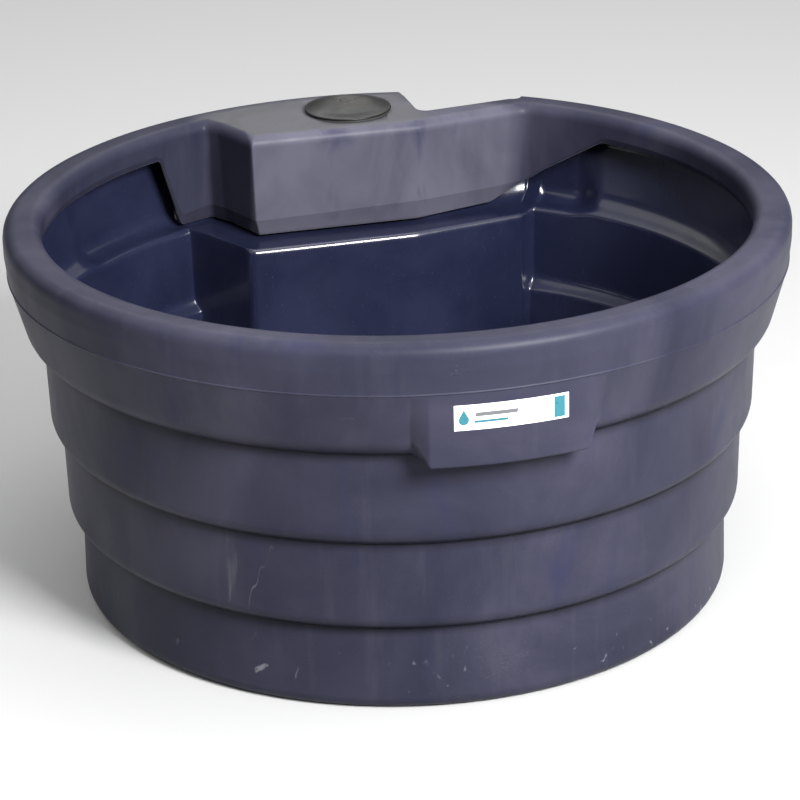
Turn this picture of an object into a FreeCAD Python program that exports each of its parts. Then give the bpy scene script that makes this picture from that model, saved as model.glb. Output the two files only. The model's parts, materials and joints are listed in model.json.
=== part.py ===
import FreeCAD, Part
import os
import re

import Sketcher

# Round rotomoulded livestock water trough.  The tub is one hollow moulding with
# a rolled rim, a float-valve housing hanging inside its back edge and an outside
# recess there for the supply pipe.  Millimetres, +Z up, origin at the middle of
# the base on the ground, front (label boss) towards -Y, housing towards +Y.

SIZES = {
    # how far a cutting shape passes the face it cuts, and the clearances of the small parts
    "overshoot": 1, "fit_gap": 0.05, "hole_gap": 0.1, "side_play": 0.2, "seal_gap": 0.3,
    # tub, outside radii and heights
    "wall": 8,
    "base_radius": 592, "base_round": 20,
    "band_low_top_radius": 589, "band_low_top": 153,
    "band_mid_foot_radius": 613, "band_mid_foot": 170,
    "band_mid_top_radius": 616, "band_mid_top": 320,
    "band_high_foot_radius": 635, "band_high_foot": 337,
    "band_high_top_radius": 639, "band_high_top": 490,
    "band_rim_foot_radius": 667, "band_rim_foot": 512,
    "parting_radius": 694, "parting_height": 615,
    "rim_radius": 698, "rim_roll": 40, "rim_height": 700,
    "lip_radius": 630, "lip_height": 644,
    # bulge of the back wall and the label boss at the front
    "bulge_half_angle": 47, "bulge_foot_half_angle": 51.5, "bulge_foot": 482,
    "boss_radius": 693, "boss_half_angle": 11.2, "boss_foot_half_angle": 14, "boss_foot": 485,
    # supply recess under the housing, given by its faces inside the tub
    "recess_back": 760, "recess_front": 411, "shelf_height": 490,
    "recess_left": -199, "recess_left_mid": -239, "recess_left_mid_depth": 526,
    "recess_left_end": -383, "recess_kink": 149, "recess_right": 376,
    "recess_right_depth": 449, "recess_return": 388, "recess_return_depth": 494,
    "recess_right_end": 470, "recess_right_end_depth": 598,
    # pipe notch up to the rim
    "notch_left": 188, "notch_left_depth": 525, "notch_right": 410, "notch_right_depth": 552,
    "notch_flare": 20,
    # housing wall seen from the basin
    "housing_left_angle": -20.7, "housing_facet": -199,
    "housing_facet_depth": 545, "housing_corner": -163, "housing_corner_depth": 456,
    "housing_kink": 168, "housing_kink_depth": 450, "housing_right_angle": 38.7,
    "skirt_low": 500, "skirt_fold": 525, "skirt_right": 541, "skirt_left_top": -320,
    "skirt_left_low": -262, "skirt_right_low": 394, "skirt_right_top": 512,
    "skirt_flare": 26, "flare_edge": 4,
    # access cap over the float valve
    "cap_across": 56, "cap_depth": 570, "cap_radius": 84.5, "cap_hole_radius": 76,
    "cap_rim_low": 704, "cap_rim_high": 708, "cap_dome_height": 723, "cap_crown_flat": 3,
    "cap_thickness": 4, "cap_skirt_radius": 75, "cap_skirt_low": 680,
    "cap_seal_radius": 82, "cap_bead": 1,
    # where the moulding is divided into its named regions: angles right of the back
    "back_left": -55, "front_left": -135, "front_right": -225, "back_right": 55,
    # label plate on the boss
    "label_half_angle": 7.9, "label_low": 551, "label_high": 594, "label_thickness": 0.8,
    # float valve: shank through the notch end wall, piston across the housing
    "valve_depth": 588, "valve_height": 650, "shank_radius": 13.2, "shank_end": 233,
    "shank_relief_radius": 12.9, "shank_relief": 0.5,
    "shank_hole_radius": 13.6, "flange_radius": 27, "flange_thickness": 8,
    "washer_thickness": 3, "washer_radius": 25, "backnut_flats": 38,
    "backnut_thickness": 10, "hard_washer": 2,
    "body_radius": 17, "body_end": 58, "bore_radius": 10.05, "bore_end": 136,
    "water_radius": 6.5, "seat_face": 128.3, "seat_nose": 2, "seat_orifice": 4, "seat_lip": 7,
    "end_cap_radius": 19, "end_cap_thickness": 5, "end_cap_depth": 10,
    "piston_radius": 10, "piston_start": 66, "piston_front": 114.8, "seal_thickness": 4,
    "seal_radius": 8.5, "seal_recess": 2, "toe_slot_rise": 3,
    "outlet_across": 122, "outlet_radius": 5, "spout_radius": 8.5, "spout_bore": 6,
    "spout_low": 600, "spout_top": 632, "outlet_wall": 2.5,
    # lever, pivot and float
    "pivot_across": 96, "pivot_drop": 22, "pivot_hole_radius": 2.55, "pivot_radius": 2.5,
    "pivot_head_radius": 4.5, "pivot_head": 2, "pivot_tail": 4, "pivot_bevel": 0.5,
    "clip_radius": 4.6,
    "clip_thickness": 1, "clip_groove_radius": 1.9,
    "lug_thickness": 5, "lug_gap": 9.6, "lug_width": 18, "lug_low": 620, "lug_high": 638,
    "body_slot": 24, "spout_boss_low": 620,
    "lever_thickness": 9, "lever_hub_radius": 7, "toe_radius": 3.8, "toe_slot": 8.2,
    "toe_mouth": 13, "lever_neck_width": 6,
    "arm_drop": 12, "arm_radius": 4, "arm_reach": 176, "eye_radius": 10, "eye_thickness": 9,
    "lever_droop": 12,
    "stem_radius": 3, "stem_top": 1, "stem_low": 44, "stem_nut_flats": 10, "stem_nut": 5,
    "float_radius": 52, "float_top": 36, "float_low": 82, "float_round": 9,
    "float_groove": 2, "float_boss_radius": 9, "float_boss": 6,
    # drain fitting in the recess wall
    "drain_across": -60, "drain_height": 62, "drain_hole_radius": 25.5,
    "drain_bush_radius": 25, "drain_bush_bore": 17, "drain_flange_radius": 36,
    "drain_flange": 6, "drain_gasket": 2.5, "drain_bush_length": 34, "drain_nut_flats": 62,
    "drain_nut": 11, "drain_plug_radius": 16.95, "drain_plug_depth": 20,
    "drain_head_flats": 32, "drain_head": 14, "drain_collar_radius": 23, "drain_collar": 5,
    "drain_ring_radius": 21, "drain_ring": 2.5,
}

doc = FreeCAD.newDocument("water_trough")
sheet = doc.addObject("Spreadsheet::Sheet", "Sizes")
for row, (alias, number) in enumerate(SIZES.items(), start=1):
    sheet.set(f"A{row}", alias)
    sheet.set(f"B{row}", str(number))
    sheet.setAlias(f"B{row}", alias)
doc.recompute()

UP = FreeCAD.Vector(0, 0, 1)
ACROSS = FreeCAD.Vector(1, 0, 0)
BACK = FreeCAD.Vector(0, 1, 0)
UPRIGHT = FreeCAD.Rotation(ACROSS, 90)
ALONG_X = FreeCAD.Rotation(BACK, 90)
ALONG_Y = FreeCAD.Rotation(ACROSS, -90)
NO_TURN = FreeCAD.Rotation()
parts = []


# ---------------------------------------------------------------- helpers
def formula(text):
    """A cell formula written with bare aliases, as FreeCAD wants it."""
    return re.sub(r"[a-z_]+", lambda m: f"Sizes.{m[0]}" if m[0] in SIZES else m[0], str(text))


def value(text):
    """What a formula comes to, as a number."""
    result = sheet.evalExpression(formula(text))
    return float(getattr(result, "Value", result))


def place(item, across="0", back="0", up="0", turn=NO_TURN):
    """Put an object at a spot given by formulas."""
    item.Placement = FreeCAD.Placement(
        FreeCAD.Vector(value(across), value(back), value(up)), turn)
    item.setExpression("Placement.Base.x", formula(across))
    item.setExpression("Placement.Base.y", formula(back))
    item.setExpression("Placement.Base.z", formula(up))
    return item


def arc_middle(start, end, radius):
    """Middle of the arc from start to end, right of the way there if radius > 0."""
    chord = end - start
    sagitta = abs(radius) - max(radius ** 2 - chord.Length ** 2 / 4, 0) ** 0.5
    side = FreeCAD.Vector(chord.y, -chord.x, 0).normalize()
    return (start + end) * 0.5 + side * (sagitta if radius > 0 else -sagitta)


def pin_corner(sketch, edge, end, corner):
    """Hold one corner of a sketch at its formulas, or on an axis where they are 0."""
    for kind, axis, text in (("DistanceX", -2, corner[0]), ("DistanceY", -1, corner[1])):
        if text == "0":
            sketch.addConstraint(Sketcher.Constraint("PointOnObject", edge, end, axis))
        else:
            number = sketch.addConstraint(
                Sketcher.Constraint(kind, -1, 1, edge, end, value(text)))
            sketch.setExpression(f"Constraints[{number}]", formula(text))


def outline(sketch, corners):
    """Draw a closed outline.  A corner is (x, y) in formulas, and a third formula
    bends the edge to the next corner to that radius (see arc_middle)."""
    spots = [FreeCAD.Vector(value(corner[0]), value(corner[1]), 0) for corner in corners]
    ends = []
    for index, corner in enumerate(corners):
        start, end = spots[index], spots[(index + 1) % len(spots)]
        if len(corner) == 2:
            edge = sketch.addGeometry(Part.LineSegment(start, end), False)
        else:
            middle = arc_middle(start, end, value(corner[2]))
            arc = (start, middle, end) if value(corner[2]) > 0 else (end, middle, start)
            edge = sketch.addGeometry(Part.Arc(*arc), False)
        forward = sketch.Geometry[edge].StartPoint.distanceToPoint(start) < 1e-6
        ends.append((edge, 1 if forward else 2, 2 if forward else 1))
    for index, (edge, first, last) in enumerate(ends):
        follower, follower_first, _ = ends[(index + 1) % len(ends)]
        sketch.addConstraint(
            Sketcher.Constraint("Coincident", edge, last, follower, follower_first))
        pin_corner(sketch, edge, first, corners[index])
        if len(corners[index]) == 3:
            radius = value(corners[index][2])
            number = sketch.addConstraint(Sketcher.Constraint("Radius", edge, abs(radius)))
            sketch.setExpression(f"Constraints[{number}]", formula(f"abs({corners[index][2]})"))


def circle(sketch, radius):
    """Draw a circle about the sketch's origin."""
    edge = sketch.addGeometry(Part.Circle(FreeCAD.Vector(), UP, value(radius)), False)
    sketch.addConstraint(Sketcher.Constraint("Coincident", edge, 3, -1, 1))
    number = sketch.addConstraint(Sketcher.Constraint("Radius", edge, value(radius)))
    sketch.setExpression(f"Constraints[{number}]", formula(radius))


def free_sketch(name, corners, up="0", turn=NO_TURN):
    """A sketch outside any body: a plan at a height, or upright through the axis."""
    sketch = doc.addObject("Sketcher::SketchObject", name)
    place(sketch, up=up, turn=turn)
    outline(sketch, corners)
    return sketch


def grown(name, source, amount):
    """An outline moved outwards all round by a formula (inwards if negative)."""
    item = doc.addObject("Part::Offset2D", name)
    item.Source = source
    item.Join = "Intersection"
    item.Value = value(amount)
    item.setExpression("Value", formula(amount))
    return item


def revolved(name, source):
    """Turn an upright profile about the vertical axis."""
    item = doc.addObject("Part::Revolution", name)
    item.Source = source
    item.Axis = UP
    item.Base = FreeCAD.Vector()
    item.Angle = 360
    item.Solid = True
    return item


def extruded(name, source, length, direction=UP):
    """Carry an outline along a direction."""
    item = doc.addObject("Part::Extrusion", name)
    item.Base = source
    item.DirMode = "Custom"
    item.Dir = direction
    item.Solid = True
    item.setExpression("LengthFwd", formula(length))
    return item


def cylinder(name, radius, height, across="0", back="0", up="0", turn=NO_TURN):
    """A round bar; turned to lie along X or Y it grows away from its spot."""
    item = doc.addObject("Part::Cylinder", name)
    item.setExpression("Radius", formula(radius))
    item.setExpression("Height", formula(height))
    return place(item, across, back, up, turn)


def block(name, size, across, back, up):
    """A box from its low corner."""
    item = doc.addObject("Part::Box", name)
    for side, text in zip(("Length", "Width", "Height"), size):
        item.setExpression(side, formula(text))
    return place(item, across, back, up)


def fused(name, *items):
    """One solid from several that overlap."""
    item = doc.addObject("Part::MultiFuse", name)
    item.Shapes = list(items)
    item.Refine = True
    return item


def cut(name, base, tool):
    """The base without the tool."""
    item = doc.addObject("Part::Cut", name)
    item.Base = base
    item.Tool = tool
    return item


def keep(item, label):
    """Name a finished sub-part and list it for writing."""
    item.Label = label
    parts.append(item)
    return item


def body_sketch(body, name, role):
    """An empty sketch on one of the body's own origin planes."""
    plane = next(f for f in body.Origin.OriginFeatures if f.Role == role)
    sketch = body.newObject("Sketcher::SketchObject", name)
    sketch.AttachmentSupport = [(plane, "")]
    sketch.MapMode = "FlatFace"
    return sketch


def turned(name, corners, across="0", back="0", up="0", turn=NO_TURN):
    """A turned piece: its half section (radius, height) about its own axis."""
    body = doc.addObject("PartDesign::Body", f"{name}_body")
    sketch = body_sketch(body, f"{name}_section", "XZ_Plane")
    outline(sketch, corners)
    spin = body.newObject("PartDesign::Revolution", f"{name}_turn")
    spin.Profile = sketch
    spin.ReferenceAxis = (sketch, ["V_Axis"])
    spin.Angle = 360
    return place(body, across, back, up, turn)


def tube_section(inner, outer, low, high):
    """Half section of a plain ring."""
    return [(inner, low), (outer, low), (outer, high), (inner, high)]


def hex_corners(flats):
    """Corners of a hexagon from its size across the flats."""
    side = f"{flats} / 2"
    point = f"{flats} / (2 * cos(30))"
    return [(side, f"{point} / 2"), ("0", point), (f"-{side}", f"{point} / 2"),
            (f"-{side}", f"-{point} / 2"), ("0", f"-{point}"), (side, f"-{point} / 2")]


def hex_nut(name, flats, hole, thickness, across="0", back="0", up="0", turn=NO_TURN):
    """A hexagon nut with a plain hole."""
    body = doc.addObject("PartDesign::Body", f"{name}_body")
    sketch = body_sketch(body, f"{name}_plan", "XY_Plane")
    outline(sketch, hex_corners(flats))
    circle(sketch, hole)
    pad = body.newObject("PartDesign::Pad", f"{name}_pad")
    pad.Profile = sketch
    pad.setExpression("Length", formula(thickness))
    return place(body, across, back, up, turn)


def dome(half_width, rise):
    """Radius of a shallow dome from its half width and its rise."""
    return f"(({half_width}) ^ 2 + ({rise}) ^ 2) / (2 * ({rise}))"


# ---------------------------------------------------------------- tub
def polar(radius, angle):
    """A plan corner from its radius and its angle right of the back (+Y)."""
    return (f"({radius}) * sin({angle})", f"({radius}) * cos({angle})")


def outer_profile():
    """Half section of the tub's outside, filled in to the axis."""
    bands = [(f"{band}_radius", band) for band in (
        "band_low_top", "band_mid_foot", "band_mid_top", "band_high_foot",
        "band_high_top", "band_rim_foot")]
    foot = [("0", "0"), ("base_radius - base_round", "0", "base_round"),
            ("base_radius", "base_round")]
    rim = [("parting_radius", "parting_height"),
           ("rim_radius", "rim_height - rim_roll", "rim_roll"),
           ("rim_radius - rim_roll", "rim_height"), ("0", "rim_height")]
    return free_sketch("outer_profile", foot + bands + rim, turn=UPRIGHT)


def bulge_plan():
    """Plan of the back wall where it stays upright, as a sector from the axis."""
    left, right = "-bulge_half_angle", "bulge_half_angle"
    return free_sketch("bulge_plan", [
        ("0", "0"), polar("band_high_top_radius", "bulge_foot_half_angle"),
        (*polar("parting_radius", right), "parting_radius"), polar("parting_radius", left),
        polar("band_high_top_radius", "-bulge_foot_half_angle")], up="bulge_foot")


def boss_plan():
    """Plan of the label boss on the front, as a sector from the axis."""
    return free_sketch("boss_plan", [
        ("0", "0"), polar("band_high_top_radius", "180 + boss_foot_half_angle"),
        (*polar("boss_radius", "180 + boss_half_angle"), "boss_radius"),
        polar("boss_radius", "180 - boss_half_angle"),
        polar("band_high_top_radius", "180 - boss_foot_half_angle")], up="boss_foot")


def recess_plan():
    """Plan of the supply recess and the wall round it, open to the back."""
    return free_sketch("recess_plan", [
        ("recess_left", "recess_front"), ("recess_kink", "recess_front"),
        ("recess_right", "recess_right_depth"), ("recess_return", "recess_return_depth"),
        ("recess_right_end", "recess_right_end_depth"), ("recess_right_end", "recess_back"),
        ("recess_left_end", "recess_back"), ("recess_left_mid", "recess_left_mid_depth")])


def notch_plan():
    """Plan of the pipe notch that runs up to the rim, open to the back."""
    return free_sketch("notch_plan", [
        ("notch_left", "notch_left_depth"), ("notch_right", "notch_right_depth"),
        ("notch_right + notch_flare", "recess_back"), ("notch_left", "recess_back")])


def well_plan():
    """Plan of the opening: the lip circle and the housing's front faces."""
    return free_sketch("well_plan", [
        (*polar("lip_radius", "housing_left_angle"), "lip_radius"),
        ("-lip_radius", "0", "lip_radius"), ("0", "-lip_radius", "lip_radius"),
        ("lip_radius", "0", "lip_radius"), polar("lip_radius", "housing_right_angle"),
        ("housing_kink", "housing_kink_depth"), ("housing_corner", "housing_corner_depth"),
        ("housing_facet", "housing_facet_depth")], up="lip_height")


def skirt_zone():
    """What the housing wall keeps below the lip, seen from the front."""
    elevation = free_sketch("skirt_elevation", [
        ("skirt_left_top", "lip_height + overshoot"), ("skirt_left_low", "skirt_low"),
        ("housing_corner", "skirt_low"), ("housing_corner", "skirt_fold"),
        ("housing_kink", "skirt_fold"), ("skirt_right_low", "skirt_right"),
        ("skirt_right_top", "lip_height + overshoot")], turn=UPRIGHT)
    return extruded("skirt_zone", elevation, "rim_radius", BACK)


def skirt():
    """The housing wall below the lip, with its flared foot along the main face."""
    well = well_plan()
    length = "lip_height - skirt_low + 2 * overshoot"
    ring_outer = extruded("skirt_outer", grown("skirt_outline", well, "wall"), length)
    ring_inner = extruded("skirt_inner", well, length)
    wall = doc.addObject("Part::Common", "skirt_wall")
    wall.Base = place(cut("skirt_ring", ring_outer, ring_inner),
                      up="skirt_low - lip_height - overshoot")
    wall.Tool = skirt_zone()
    flare_section = free_sketch("flare_section", [
        ("housing_kink_depth", "skirt_fold + overshoot"),
        ("housing_kink_depth + skirt_flare", "skirt_low"),
        ("housing_kink_depth + skirt_flare + wall", "skirt_low"),
        ("housing_kink_depth + skirt_flare + wall", "skirt_low + flare_edge"),
        ("housing_kink_depth + wall + flare_edge", "skirt_fold + overshoot")],
        turn=FreeCAD.Rotation(FreeCAD.Vector(1, 1, 1), 120))
    flare = extruded("flare", flare_section, "housing_kink - housing_corner", ACROSS)
    place(flare, "housing_corner")
    return well, fused("skirt", wall, flare)


def tank_shell():
    """The whole moulding: its outside less its cavity, its well and its holes."""
    profile = outer_profile()
    bulge = bulge_plan()
    recess = recess_plan()
    notch = notch_plan()
    well, hanging = skirt()
    rise = "parting_height - bulge_foot"
    body = fused("outer_mass", revolved("outer_turn", profile),
                 extruded("bulge_mass", bulge, rise),
                 extruded("boss_mass", boss_plan(), "parting_height - boss_foot"))
    inner_bulge = extruded("bulge_hollow", grown("bulge_inside", bulge, "-wall"), rise)
    place(inner_bulge, up="wall")
    hollow = fused("hollow_mass", revolved("inner_turn", grown("inner_profile", profile, "-wall")),
                   cylinder("hollow_core", "4 * wall", "rim_height - 2 * wall", up="wall"),
                   inner_bulge)
    lip = "rim_height - lip_height"
    kept = fused("kept_solid", hanging,
                 extruded("recess_wall", recess, "shelf_height"),
                 extruded("notch_wall", grown("notch_outline", notch, "wall"), "rim_height"),
                 extruded("lip_wall", grown("lip_outline", well, "wall"), lip))
    cavity = cut("cavity", hollow, kept)
    recess_void = extruded("recess_void", grown("recess_outline", recess, "-wall"),
                           "shelf_height - wall + overshoot")
    place(recess_void, up="-overshoot")
    notch_void = extruded("notch_void", notch, "rim_height + 2 * overshoot")
    place(notch_void, up="-overshoot")
    voids = fused(
        "voids", cavity, recess_void, notch_void,
        extruded("well_void", well, f"{lip} + overshoot"),
        cylinder("cap_hole", "cap_hole_radius", "3 * wall", "cap_across", "cap_depth",
                 "rim_height - 2 * wall"),
        cylinder("inlet_hole", "shank_hole_radius", "3 * wall", "notch_left - 2 * wall",
                 "valve_depth", "valve_height", ALONG_X),
        cylinder("drain_hole", "drain_hole_radius", "3 * wall", "drain_across",
                 "recess_front - wall", "drain_height", ALONG_Y))
    return cut("tub", body, voids)


def sector(name, first, last, low, high):
    """A wedge of space about the tub's axis between two angles and two heights."""
    reach = "2 * rim_radius"
    plan = free_sketch(f"{name}_plan", [("0", "0"), polar(reach, first), polar(reach, last)],
                       up=low)
    return extruded(f"{name}_space", plan, f"{high} - ({low})")


def tank_regions():
    """The moulding as regions that meet face to face: floor, walls, recess and housing."""
    tub = tank_shell()
    top = "rim_height + overshoot"
    spaces = {
        "tank_floor": block("floor_space", ("4 * rim_radius", "4 * rim_radius", "base_round"),
                            "-2 * rim_radius", "-2 * rim_radius", "0"),
        "tank_wall_left": sector("left", "back_left", "front_left", "base_round", top),
        "tank_wall_front": sector("front", "front_left", "front_right", "base_round", top),
        "tank_wall_right": sector("right", "front_right", "back_right - 360", "base_round", top),
        "supply_recess_wall": sector("recess", "back_right", "back_left", "base_round", "shelf_height"),
        "valve_housing": sector("housing", "back_right", "back_left", "shelf_height", top)}
    for label, space in spaces.items():
        region = doc.addObject("Part::Common", f"{label}_region")
        region.Base = tub
        region.Tool = space
        keep(region, label)


# ---------------------------------------------------------------- label and cap
def label_plate():
    """Thin printed plate bent round the face of the boss."""
    low, high = "180 - label_half_angle", "180 + label_half_angle"
    outer = "boss_radius + label_thickness"
    plan = free_sketch("label_plan", [
        (*polar(outer, high), outer), polar(outer, low),
        (*polar("boss_radius", low), "-boss_radius"), polar("boss_radius", high)],
        up="label_low")
    keep(extruded("label", plan, "label_high - label_low"), "label_plate")


def access_cap():
    """Low domed cap with a skirt that turns into the housing's hole, on a flat seal."""
    inner_skirt = "cap_skirt_radius - cap_thickness"
    crown = "cap_dome_height - cap_thickness"
    outer_dome = dome("cap_radius - cap_crown_flat", "cap_dome_height - cap_rim_high")
    inner_dome = dome(f"{inner_skirt} - cap_crown_flat", f"{crown} - cap_rim_high")
    section = [
        (inner_skirt, "cap_skirt_low"), ("cap_skirt_radius", "cap_skirt_low"),
        ("cap_skirt_radius", "cap_rim_low"), ("cap_radius - cap_bead", "cap_rim_low"),
        ("cap_radius", "cap_rim_low + cap_bead"), ("cap_radius", "cap_rim_high", outer_dome),
        ("cap_crown_flat", "cap_dome_height"), ("0", "cap_dome_height"), ("0", crown),
        ("cap_crown_flat", crown, f"-{inner_dome}"), (inner_skirt, "cap_rim_high")]
    keep(turned("cap", section, "cap_across", "cap_depth"), "access_cap")
    ring = tube_section("cap_skirt_radius + seal_gap", "cap_seal_radius", "rim_height",
                        "cap_rim_low")
    keep(turned("seal", ring, "cap_across", "cap_depth"), "cap_seal")


# ---------------------------------------------------------------- float valve
def on_valve_axis(name, corners):
    """A turned piece on the valve's axis; its heights are distances along X."""
    return turned(name, corners, "0", "valve_depth", "valve_height", ALONG_X)


def valve_body():
    """Piston housing, lever lugs, outlet boss, flange and threaded shank in one."""
    flange_face = "notch_left - wall - washer_thickness"
    flange_back = f"{flange_face} - flange_thickness"
    relief_end = "notch_left + hard_washer + backnut_thickness + shank_relief"
    barrel = on_valve_axis("barrel", [
        ("bore_radius", "body_end"), ("body_radius", "body_end"), ("body_radius", flange_back),
        ("flange_radius", flange_back), ("flange_radius", flange_face),
        ("shank_relief_radius", flange_face), ("shank_relief_radius", relief_end),
        ("shank_radius", relief_end), ("shank_radius", "shank_end"),
        ("water_radius", "shank_end"), ("water_radius", "bore_end"),
        ("bore_radius", "bore_end")])
    lug_size = ("lug_width", "lug_thickness", "lug_high - lug_low")
    lug_across = "pivot_across - lug_width / 2"
    front_lug = block("front_lug", lug_size, lug_across,
                      "valve_depth - lug_gap / 2 - lug_thickness", "lug_low")
    back_lug = block("back_lug", lug_size, lug_across, "valve_depth + lug_gap / 2", "lug_low")
    boss = cylinder("outlet_boss", "spout_radius + outlet_wall", "lug_high - spout_boss_low",
                    "outlet_across", "valve_depth", "spout_boss_low")
    solid = fused("valve_solid", barrel, front_lug, back_lug, boss)
    slot = block("lever_slot", ("body_slot", "lug_gap", "valve_height - lug_low"),
                 "pivot_across - body_slot / 2", "valve_depth - lug_gap / 2", "lug_low")
    pin_hole = cylinder("pin_hole", "pivot_hole_radius", "2 * lug_width", "pivot_across",
                        "valve_depth - lug_width", "valve_height - pivot_drop", ALONG_Y)
    outlet = cylinder("outlet_hole", "outlet_radius", "valve_height - spout_top",
                      "outlet_across", "valve_depth", "spout_top")
    socket = cylinder("spout_socket", "spout_radius + fit_gap", "spout_top - spout_boss_low",
                      "outlet_across", "valve_depth", "spout_boss_low")
    keep(cut("valve", solid, fused("valve_voids", slot, pin_hole, outlet, socket)), "valve_body")


def valve_insides():
    """Seat, piston with its rubber, end cap and outlet spout."""
    shoulder = "seat_face + seat_nose"
    keep(on_valve_axis("seat", [
        ("seat_orifice", "seat_face"), ("seat_lip", "seat_face"), ("seat_lip", shoulder),
        ("bore_radius - fit_gap", shoulder), ("bore_radius - fit_gap", "bore_end"),
        ("seat_orifice", "bore_end")]), "valve_seat")
    keep(on_valve_axis("seal_disc", [
        ("0", "piston_front - seal_recess"), ("seal_radius", "piston_front - seal_recess"),
        ("seal_radius", "piston_front + seal_thickness"),
        ("0", "piston_front + seal_thickness")]), "piston_seal")
    rod = on_valve_axis("piston_rod", [
        ("0", "piston_start"), ("piston_radius", "piston_start"),
        ("piston_radius", "piston_front"), ("seal_radius + fit_gap", "piston_front"),
        ("seal_radius + fit_gap", "piston_front - seal_recess"),
        ("0", "piston_front - seal_recess")])
    toe_across = "pivot_across - pivot_drop * sin(lever_droop)"
    slot_low = "valve_height - piston_radius - toe_slot_rise"
    slot = block("toe_slot_cut", ("toe_slot", "lug_gap", "piston_radius + toe_slot"),
                 f"{toe_across} - toe_slot / 2", "valve_depth - lug_gap / 2",
                 slot_low)
    mouth = block("toe_mouth", ("toe_mouth", "lug_gap", "piston_radius"),
                  f"{toe_across} - toe_mouth / 2", "valve_depth - lug_gap / 2",
                  slot_low)
    keep(cut("piston", rod, fused("piston_slot", slot, mouth)), "valve_piston")
    keep(on_valve_axis("end_cap", [
        ("0", "body_end - end_cap_thickness"), ("end_cap_radius", "body_end - end_cap_thickness"),
        ("end_cap_radius", "body_end + end_cap_depth"),
        ("body_radius + fit_gap", "body_end + end_cap_depth"),
        ("body_radius + fit_gap", "body_end"),
        ("0", "body_end")]), "valve_end_cap")
    keep(turned("spout", tube_section("spout_bore", "spout_radius", "spout_low", "spout_top"),
                "outlet_across", "valve_depth"), "outlet_spout")


def shank_fixings():
    """Rubber washer inside the wall, hard washer and backnut outside it."""
    inside = "notch_left - wall"
    keep(on_valve_axis("inner_ring", tube_section(
        "shank_hole_radius", "washer_radius", f"{inside} - washer_thickness", inside)),
        "inlet_seal_washer")
    keep(on_valve_axis("outer_ring", tube_section(
        "shank_hole_radius", "washer_radius", "notch_left", "notch_left + hard_washer")),
        "inlet_outer_washer")
    keep(hex_nut("backnut", "backnut_flats", "shank_radius + fit_gap", "backnut_thickness",
                 "notch_left + hard_washer", "valve_depth", "valve_height", ALONG_X),
         "inlet_backnut")


def on_lever(item, reach="0"):
    """Put a piece modelled with the lever level onto the hanging lever."""
    return place(item, f"pivot_across - ({reach}) * cos(lever_droop)", "valve_depth",
                 f"valve_height - pivot_drop - ({reach}) * sin(lever_droop)",
                 FreeCAD.Rotation(BACK, -value("lever_droop")))


def lever():
    """Forked-out lever: hub, toe up into the piston, long arm with an eye at its end."""
    half = "lever_thickness / 2"
    hub = cylinder("lever_hub", "lever_hub_radius", "lever_thickness", back=f"-{half}",
                   turn=ALONG_Y)
    neck = block("lever_neck", ("lever_neck_width", "lever_thickness", "pivot_drop"),
                 "-lever_neck_width / 2", f"-{half}", "0")
    toe = cylinder("lever_toe", "toe_radius", "lever_thickness", back=f"-{half}",
                   up="pivot_drop", turn=ALONG_Y)
    heel = block("lever_heel", ("3 * arm_radius", "lever_thickness", "arm_drop + arm_radius"),
                 "-2 * arm_radius", f"-{half}", "-arm_drop - arm_radius")
    arm = cylinder("lever_rod", "arm_radius", "arm_reach", "-arm_reach", "0", "-arm_drop",
                   ALONG_X)
    eye = cylinder("lever_eye", "eye_radius", "eye_thickness", "-arm_reach", "0",
                   "-arm_drop - eye_thickness / 2")
    solid = fused("lever_solid", hub, neck, toe, heel, arm, eye)
    pivot = cylinder("lever_pivot_hole", "pivot_hole_radius", "2 * lever_thickness",
                     back="-lever_thickness", turn=ALONG_Y)
    stem_hole = cylinder("lever_stem_hole", "stem_radius + hole_gap", "4 * eye_thickness",
                         "-arm_reach", "0", "-arm_drop - 2 * eye_thickness")
    keep(on_lever(cut("lever", solid, fused("lever_holes", pivot, stem_hole))), "float_lever")


def pivot():
    """Headed pivot pin through the lugs, held by a clip in its groove."""
    lug_face = "(lug_gap / 2 + lug_thickness)"
    near = f"-{lug_face} - side_play"
    keep(turned("pin", [
        ("0", f"{near} - pivot_tail"), ("pivot_radius - pivot_bevel", f"{near} - pivot_tail"),
        ("pivot_radius", f"{near} - pivot_tail + pivot_bevel"),
        ("pivot_radius", f"{near} - clip_thickness"),
        ("clip_groove_radius", f"{near} - clip_thickness"), ("clip_groove_radius", near),
        ("pivot_radius", near), ("pivot_radius", f"{lug_face} + side_play"),
        ("pivot_head_radius", f"{lug_face} + side_play"),
        ("pivot_head_radius", f"{lug_face} + pivot_head"), ("0", f"{lug_face} + pivot_head")],
        "pivot_across", "valve_depth", "valve_height - pivot_drop", ALONG_Y), "pivot_pin")
    keep(turned("clip", tube_section("clip_groove_radius + fit_gap", "clip_radius",
                                     f"{near} - clip_thickness + fit_gap", f"{near} - fit_gap"),
                "pivot_across", "valve_depth", "valve_height - pivot_drop", ALONG_Y),
         "pivot_clip")


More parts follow.
